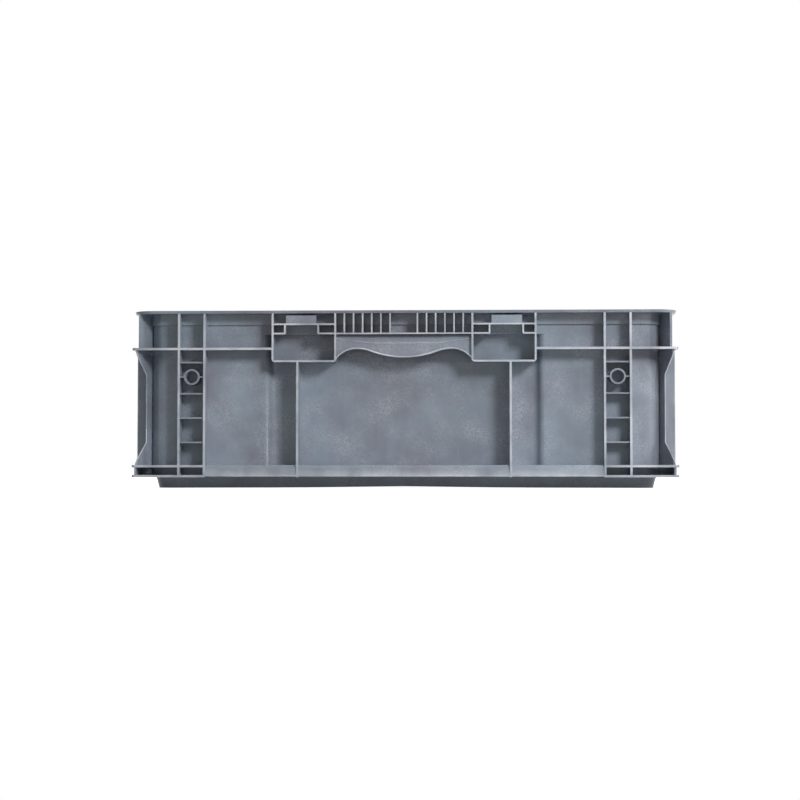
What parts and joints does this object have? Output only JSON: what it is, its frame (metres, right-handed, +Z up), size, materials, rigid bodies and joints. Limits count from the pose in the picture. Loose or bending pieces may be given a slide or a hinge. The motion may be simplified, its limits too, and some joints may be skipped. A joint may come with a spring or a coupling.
{
  "type": "stacking container",
  "caption": "Shallow open stacking container for industry, ribbed outside, with shell grips and clip pockets on its short ends.",
  "frame": {"origin": "bottom centre of the container, in the plane that the foot stands on", "axes": "+X across the short ends, +Y along the long sides, +Z up; a grip end faces -Y and the other one +Y"},
  "size_m": [0.4, 0.6, 0.13],
  "materials": {
    "plastic": "blue-grey polypropylene, slightly glossy as moulded"
  },
  "bodies": {
    "root": {"container": "plastic"}
  },
  "joints": []
}
